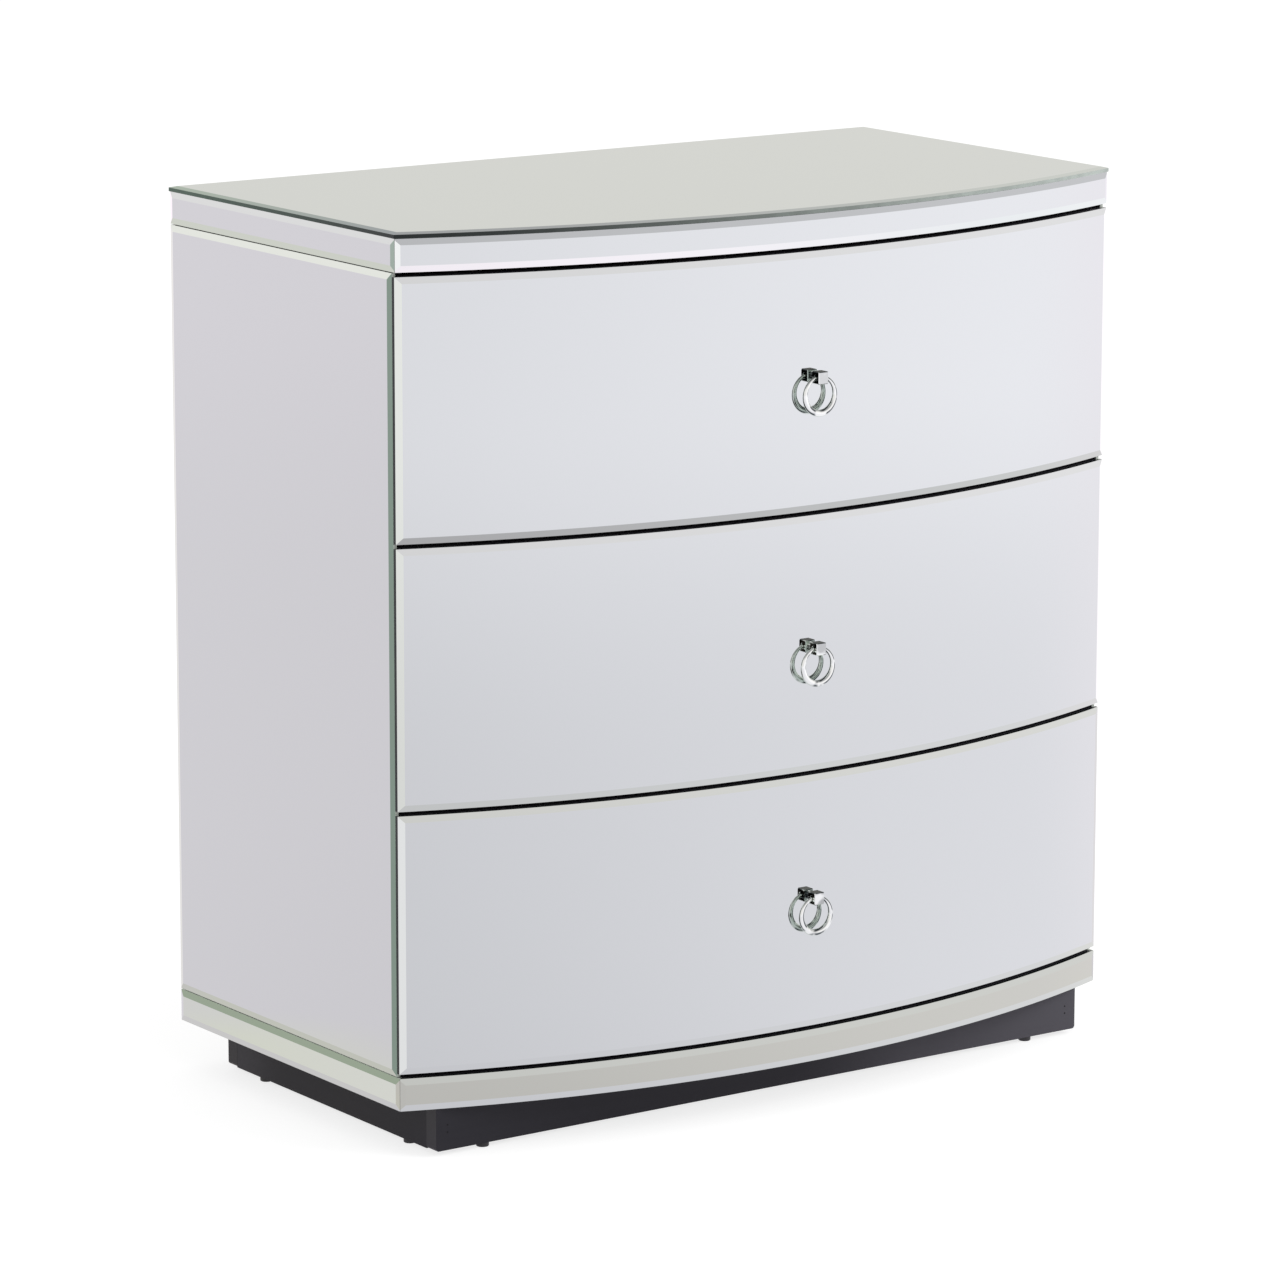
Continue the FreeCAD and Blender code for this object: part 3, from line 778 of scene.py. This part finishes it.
class CHEST_OT_drawer_mirrors(bpy.types.Operator):
    """Make the curved mirror of each drawer"""
    bl_idname = "chest.drawer_mirrors"
    bl_label = "Drawer mirrors"

    def execute(self, context):
        sizes, bow, materials = glass_parts(context.scene)
        for drawer in (level + "_drawer" for level in LEVELS):
            node = drawer + "_mirror"
            sheet = bowed_sheet(bow, sizes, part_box(node)[1].x, *heights(node))
            mirror_piece(node, drawer, sheet, materials, body=drawer)
        return {"FINISHED"}


# ---- ring pulls
def cross_hole_radius(pull):
    """Room for the ring where it enters and leaves the head."""
    drop = pull.ring_radius - math.sqrt(pull.ring_radius ** 2 - (pull.head_width / 2) ** 2)
    slope = math.asin(pull.head_width / 2 / pull.ring_radius)
    wire = pull.wire_radius - pull.wire_taper * math.cos(slope)
    return drop / 2 + wire / math.cos(slope) + pull.ring_play


def octagon(angles, half_height, half_depth, cut):
    """Distance from the middle to a rectangle with cut corners, at each angle: the least, over its
    eight sides, of the side's distance over the cosine of the angle between them."""
    corner = (half_height + half_depth - cut) / math.sqrt(2)
    distances = np.array([half_height, corner, half_depth, corner] * 2)
    cosine = np.cos(angles[:, None] - np.arange(8) * np.pi / 4)
    return np.min(np.where(cosine > 1e-6, distances / np.maximum(cosine, 1e-6), np.inf), axis=1)


def pull_head(pull, centre):
    """The cross-drilled square head: loops about the X axis run out over one side face, along the
    body, in over the other side face, and back through the hole."""
    half_w, half_h, half_d = pull.head_width / 2, pull.head_height / 2, pull.head_depth / 2
    cut, lead = pull.head_chamfer, pull.head_chamfer / 2
    hole = cross_hole_radius(pull)
    corners = [math.atan2(half_d - cut, half_h), math.atan2(half_d, half_h - cut)]
    corners = [sign * corner + turn for turn in (0, math.pi) for corner in corners for sign in (-1, 1)]
    even = np.linspace(0, 2 * np.pi, 72, endpoint=False)
    angles = np.unique(np.round(np.concatenate([even, np.mod(corners, 2 * np.pi)]), 9))
    full = octagon(angles, half_h, half_d, cut)
    inset = full * (1 - cut / max(half_h, half_d))
    left = [(lead - half_w, hole), (-half_w, hole + lead), (-half_w, inset), (cut - half_w, full)]
    right = [(-x, radius) for x, radius in reversed(left)]
    return looped(0, centre, angles, left + right, through=True)


def pull_stem(pull, glass_y, end_y, z):
    """The neck in front of the glass, and behind it the stud with its thread, in loops about Y."""
    neck, stud, pitch, ease = pull.neck_radius, pull.stud_radius, pull.thread_pitch, pull.ease
    reach = end_y - glass_y
    thread = ((0.1, stud), (0.5, stud - 0.3 * pitch), (0.9, stud))
    neck_end = -pull.neck_length
    loops = [(neck_end - 2 * ease, 0), (neck_end - 2 * ease, neck - ease), (neck_end, neck - ease),
             (neck_end + ease, neck), (0, neck), (0, stud)]
    loops += [((turn + share) * pitch, radius) for turn in range(int(reach / pitch) - 1)
              for share, radius in thread]
    loops += [(reach - ease, stud), (reach, stud - ease), (reach, 0)]
    return looped(1, (0, glass_y, z), np.linspace(0, 2 * np.pi, 40, endpoint=False), loops)


def tapered_ring(pull, centre, along=160, around=32):
    """A ring in an upright plane: round sections carried round a circle, whose radius is the wire's
    radius less the taper times the cosine of the angle from the top."""
    u = np.linspace(0, 2 * np.pi, along, endpoint=False)[:, None]
    v = np.linspace(0, 2 * np.pi, around, endpoint=False)[None, :]
    wire = pull.wire_radius - pull.wire_taper * np.cos(u)
    reach = pull.ring_radius + wire * np.cos(v)
    points = np.stack([reach * np.sin(u), wire * np.sin(v), reach * np.cos(u)], -1).reshape(-1, 3)
    return points + np.array(centre), grid_faces(along, around, wrap_rows=True, wrap_columns=True)


class CHEST_OT_ring_pulls(bpy.types.Operator):
    """Make the post and the ring of each pull"""
    bl_idname = "chest.ring_pulls"
    bl_label = "Ring pulls"

    def execute(self, context):
        pull = context.scene.chest_pull
        chrome = [chrome_finish(context.scene.chest_colours)]
        for level in LEVELS:
            post, ring = level + "_pull_post", level + "_pull_ring"
            low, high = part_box(post)
            z = (low.z + high.z) / 2
            shells = (pull_head(pull, (0, low.y + pull.head_depth / 2, z)),
                      pull_stem(pull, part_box(level + "_drawer_mirror")[0].y, high.y, z))
            mesh = solid_mesh(level + "_pull", shells, 20.0)
            new_piece(post + "_turned", mesh, chrome, level + "_drawer", post)
            low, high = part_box(ring)
            top_wire = pull.wire_radius - pull.wire_taper
            centre = (0, (low.y + high.y) / 2, high.z - top_wire - pull.ring_radius)
            mesh = solid_mesh(level + "_ring", [tapered_ring(pull, centre)], 60.0)
            new_piece(ring + "_wire", mesh, chrome, level + "_ring", ring)
        return {"FINISHED"}


# ---- back screws
def cross_outline(angles, reach, half_width):
    """Distance from the middle to the outline of a cross, at each angle: the farther of its two bars,
    each of which ends at the reach or, sooner, at its half width over the sine of the angle to it."""
    sine, cosine = (np.maximum(np.abs(part(angles)), 1e-9) for part in (np.sin, np.cos))
    return np.maximum(np.minimum(reach / cosine, half_width / sine),
                      np.minimum(reach / sine, half_width / cosine))


def pan_head_screw(screw, centre):
    """Loops about the screw's axis: from the tip up the shank, over the domed head, and down into the
    tapered cross of its recess to the middle of its floor."""
    half_cross, cross = screw.cross_width / 2, screw.cross_reach
    corners = [math.atan2(half_cross, cross), math.pi / 4, math.atan2(cross, half_cross)]
    quarter = np.unique(np.round(np.concatenate([np.linspace(0, math.pi / 2, 9)[:-1], corners]), 9))
    angles = np.concatenate([quarter + turn * math.pi / 2 for turn in range(4)])
    shank, head, height = screw.shank_radius, screw.head_radius, screw.head_height
    tip = -screw.shank_length
    outline = cross_outline(angles, cross, half_cross)
    dome = ((0.0, 1.0), (0.35, 1.0), (0.72, 0.93), (0.93, 0.76))
    loops = [(tip, 0), (tip + shank / 2, 0.3 * shank), (tip + 2 * shank, shank), (0, shank)]
    loops += [(up * height, share * head) for up, share in dome]
    loops += [(height, outline), (0.25 * height, 0.75 * outline), (0.1 * height, 0)]
    return looped(1, centre, angles, loops)


class CHEST_OT_back_screws(bpy.types.Operator):
    """Make the cross-recessed screws of the back panel"""
    bl_idname = "chest.back_screws"
    bl_label = "Back screws"

    def execute(self, context):
        screw = context.scene.chest_screw
        low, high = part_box("back_panel_screws")
        edge_x = high.x - screw.head_radius
        rows = np.linspace(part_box("bottom_board")[1].z + screw.end_margin,
                           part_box("top_board")[0].z - screw.end_margin, screw.count_up)
        columns = np.linspace(-edge_x, edge_x, screw.count_across + 2)[1:-1]
        places = [(side * edge_x, z) for side in SIDES.values() for z in rows]
        places += [(x, z) for x in columns for z in (low.z + screw.head_radius, high.z - screw.head_radius)]
        back_y = high.y - screw.head_height
        screws = [pan_head_screw(screw, (x, back_y, z)) for x, z in places]
        steel = steel_finish("fastener_zinc", context.scene.chest_colours.zinc, 0.25, (300.0, 300.0, 300.0))
        new_piece("back_screws_turned", solid_mesh("back_screws", screws, 35.0), [steel], "root",
                  "back_panel_screws")
        return {"FINISHED"}


# ---- carried-over nodes
def of_drawers(*names):
    """The nodes by these names at each level."""
    return [level + "_" + name for level in LEVELS for name in names]


class CHEST_OT_board_finishes(bpy.types.Operator):
    """Give every carried-over board, runner and fastener its finish"""
    bl_idname = "chest.board_finishes"
    bl_label = "Board finishes"

    def execute(self, context):
        colours = context.scene.chest_colours
        finishes = (
            (paint_finish("board_paint", colours.board, 0.5, (5.0, 60.0, 60.0)),
             ["top_board", "bottom_board", "top_rail", "bottom_rail", "divider_rail_lower",
              "divider_rail_upper", "side_panel_left", "side_panel_right", *of_drawers("drawer_front")]),
            (paint_finish("plinth_paint", colours.plinth, 0.38, (6.0, 90.0, 160.0), 1.3,
                          partial(nails_and_painted_light, colours)),
             ["plinth_front", "plinth_back", "plinth_corner_blocks"]),
            (paint_finish("plinth_side_paint", colours.plinth, 0.38, (90.0, 6.0, 160.0), 1.2,
                          partial(butt_joint, colours)), ["plinth_left", "plinth_right"]),
            (ply_finish("side_ply", colours, 0, (150.0, 5.0, 90.0)), of_drawers("drawer_sides")),
            (ply_finish("back_ply", colours, 1, (5.0, 150.0, 90.0)), of_drawers("drawer_back")),
            (ply_finish("bottom_ply", colours, 2, (5.0, 90.0, 150.0)), of_drawers("drawer_bottom")),
            (steel_finish("runner_zinc", colours.zinc, 0.2, (900.0, 6.0, 900.0)),
             of_drawers("cabinet_rails", "intermediate_rails", "drawer_rails")),
            (steel_finish("nut_zinc", colours.zinc, 0.25, (300.0, 300.0, 300.0)), of_drawers("pull_nut")),
            (hardboard_finish(colours), ["back_panel"]),
            (nylon_finish(colours), ["floor_glides"]),
        )
        for material, nodes in finishes:
            for node in nodes:
                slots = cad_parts[node].data.materials
                slots.clear()
                slots.append(material)
        return {"FINISHED"}


# ---- studio
def brightness(room, x, y):
    """The room's level, with more to the right and in front, along a level direction of length 1."""
    return x * room.sideways + y * -room.forwards + room.level


def floor_finish(room, stand):
    """White to the camera with a faint contact shadow. Mirrors show it a little darker in front of the
    chest, as a painted shade, and second reflections also the dark stand at an angle to the left."""
    tree = new_material("studio_floor")
    x, y, _ = tree.axes(tree.add("ShaderNodeNewGeometry", output="Position"))
    out_x, out_y = (tree.maths("MAXIMUM", abs(place) - half, 0.0) for place, half in ((x, 0.40), (y, 0.20)))
    distance = (out_x * out_x + out_y * out_y) ** 0.5
    radius = (x * x + y * y) ** 0.5
    # A painted shade: the floor in front of the chest is darker near it, as mirrors show it.
    in_front = tree.mix(distance.smooth(1.2, 4.0), rgba(room.floor_near_shaded), rgba(room.floor_far))
    behind = tree.mix(distance.smooth(2.0, 5.0), rgba(room.beside), rgba(room.beside_far))
    behind = tree.mix(distance.smooth(0.12, 0.26), rgba(room.foot), behind)
    shade = tree.mix((y / radius).smooth(-0.45, 0.0), in_front, behind)
    across = x * math.cos(stand) + y * math.sin(stand)
    ahead = x * math.sin(stand) - y * math.cos(stand)
    bounced = tree.light_path("Ray Depth") > 1.5
    dark = abs(across).smooth(0.45, 0.30) * ahead.smooth(0.5, 0.8) * bounced
    matt = tree.add("ShaderNodeBsdfDiffuse", {"Color": rgba((0.8, 0.8, 0.8))})
    glow = tree.add("ShaderNodeEmission", {"Color": tree.mix(dark, shade, rgba(room.stand)),
                                           "Strength": brightness(room, x / radius, y / radius)})
    shadowed = tree.add("ShaderNodeBsdfDiffuse", {"Color": rgba((0.4, 0.4, 0.4))})
    white = tree.add("ShaderNodeEmission", {"Color": rgba((1.0, 1.0, 1.0)), "Strength": 0.77})
    seen = tree.add("ShaderNodeAddShader", {0: white, 1: shadowed})
    tree.add("ShaderNodeOutputMaterial", {"Surface": tree.shown_to(matt, glow, seen)})
    return tree.owner


def build_world(scene, room, studio):
    """White to the camera, plain to matt surfaces, and to mirrors walls that darken to the zenith.
    Second reflections, whose depth counts as three here, also show a dark screen at the camera and one
    at the same angle to the right."""
    scene.world = bpy.data.worlds.new("studio_world")
    tree = Tree(scene.world)
    x, y, up = tree.axes(tree.place("Generated"))
    level = (x * x + y * y + 0.0001) ** 0.5
    x, y = x / level, y / level
    behind = tree.mix(x.smooth(-0.5, 0.5), rgba(room.wall_left), rgba(room.wall_right))
    behind = tree.mix(up.smooth(0.0, 0.1), rgba(room.floor_far), behind)
    walls = tree.mix(y.smooth(-0.2, 0.3), rgba(room.wall_front), behind)
    sky = tree.mix(up.smooth(0.36, 0.85), walls, rgba(room.zenith))
    across = y * math.sin(studio.azimuth) - abs(x) * math.cos(studio.azimuth)
    bounced = tree.light_path("Ray Depth") > 2.5
    dark = abs(across).smooth(0.24, 0.12) * (y < 0.0) * up.smooth(0.42, 0.32) * bounced
    sky = tree.mix(dark * 0.85, sky, rgba(room.stand))
    white = rgba((1.0, 1.0, 1.0))
    plain, shown, backdrop = (
        tree.add("ShaderNodeBackground", {"Color": colour, "Strength": strength})
        for colour, strength in ((white, studio.fill), (sky, brightness(room, x, y)), (white, 1.0)))
    tree.add("ShaderNodeOutputWorld", {"Surface": tree.shown_to(plain, shown, backdrop)})


def build_camera(scene, studio):
    """The camera, tipped up to its elevation, turned to its azimuth and rolled a little about its axis."""
    data = bpy.data.cameras.new("studio_camera")
    data.lens = studio.lens
    data.sensor_width = 36.0
    data.clip_start, data.clip_end = 0.1, 200.0
    scene.camera = add_object("studio_camera", data)
    turn = Euler((math.pi / 2 - studio.elevation, 0, studio.azimuth)).to_matrix().to_4x4()
    turn = turn @ Matrix.Rotation(studio.roll, 4, "Z")
    scene.camera.matrix_world = Matrix.Translation(studio.camera_place) @ turn


def build_key(studio):
    """One broad soft lamp from the right, which mirrors don't show."""
    place, aim = Vector((2.2, -3.0, 2.6)), Vector((0, 0, 0.3))
    data = bpy.data.lights.new("key_light", "AREA")
    data.shape = "DISK"
    data.size = studio.key_size
    data.energy = studio.key
    lamp = add_object("key_light", data)
    lamp.location = place
    lamp.rotation_euler = (place - aim).to_track_quat("Z", "Y").to_euler()
    lamp.visible_glossy = False
    lamp.visible_camera = False


class CHEST_OT_studio(bpy.types.Operator):
    """Make the floor, the light and the camera"""
    bl_idname = "chest.studio"
    bl_label = "Studio"

    def execute(self, context):
        scene = context.scene
        studio = scene.chest_studio
        scene.view_settings.view_transform = "Standard"
        half = studio.floor_size / 2
        mesh = bpy.data.meshes.new("studio_floor")
        mesh.from_pydata([(-half, -half, 0), (half, -half, 0), (half, half, 0), (-half, half, 0)], [],
                         [(0, 1, 2, 3)])
        mesh.materials.append(floor_finish(scene.chest_room, studio.azimuth))
        add_object("studio_floor", mesh)
        build_world(scene, scene.chest_room, studio)
        build_key(studio)
        build_camera(scene, studio)
        return {"FINISHED"}


# ---- add-on
OPERATORS = (CHEST_OT_studio, CHEST_OT_body_mirrors, CHEST_OT_drawer_mirrors, CHEST_OT_ring_pulls,
             CHEST_OT_back_screws, CHEST_OT_board_finishes)
SETTINGS = {"chest_glass": ChestGlassSizes, "chest_pull": ChestPullSizes, "chest_screw": ChestScrewSizes,
            "chest_tints": ChestGlassTints, "chest_colours": ChestColours, "chest_room": ChestRoom,
            "chest_studio": ChestStudio}


class CHEST_PT_panel(bpy.types.Panel):
    """Sizes, colours and steps of the chest"""
    bl_idname = "CHEST_PT_panel"
    bl_label = "Mirrored chest"
    bl_space_type = "VIEW_3D"
    bl_region_type = "UI"
    bl_category = "Chest"

    def draw(self, context):
        for operator in OPERATORS:
            self.layout.operator(operator.bl_idname)
        for name, settings in SETTINGS.items():
            box = self.layout.box()
            box.label(text=settings.__doc__)
            for prop in settings.__annotations__:
                box.prop(getattr(context.scene, name), prop)


def register():
    """Registers the settings, the operators and the panel."""
    for name, settings in SETTINGS.items():
        bpy.utils.register_class(settings)
        setattr(bpy.types.Scene, name, bpy.props.PointerProperty(type=settings))
    for cls in (*OPERATORS, CHEST_PT_panel):
        bpy.utils.register_class(cls)


def unregister():
    """Takes away what register added."""
    for cls in reversed((*OPERATORS, CHEST_PT_panel)):
        bpy.utils.unregister_class(cls)
    for name, settings in SETTINGS.items():
        delattr(bpy.types.Scene, name)
        bpy.utils.unregister_class(settings)


def main():
    """Runs every step in order."""
    register()
    bpy.ops.chest.studio()
    bpy.ops.chest.body_mirrors()
    bpy.ops.chest.drawer_mirrors()
    bpy.ops.chest.ring_pulls()
    bpy.ops.chest.back_screws()
    bpy.ops.chest.board_finishes()


if __name__ == "__main__":
    main()
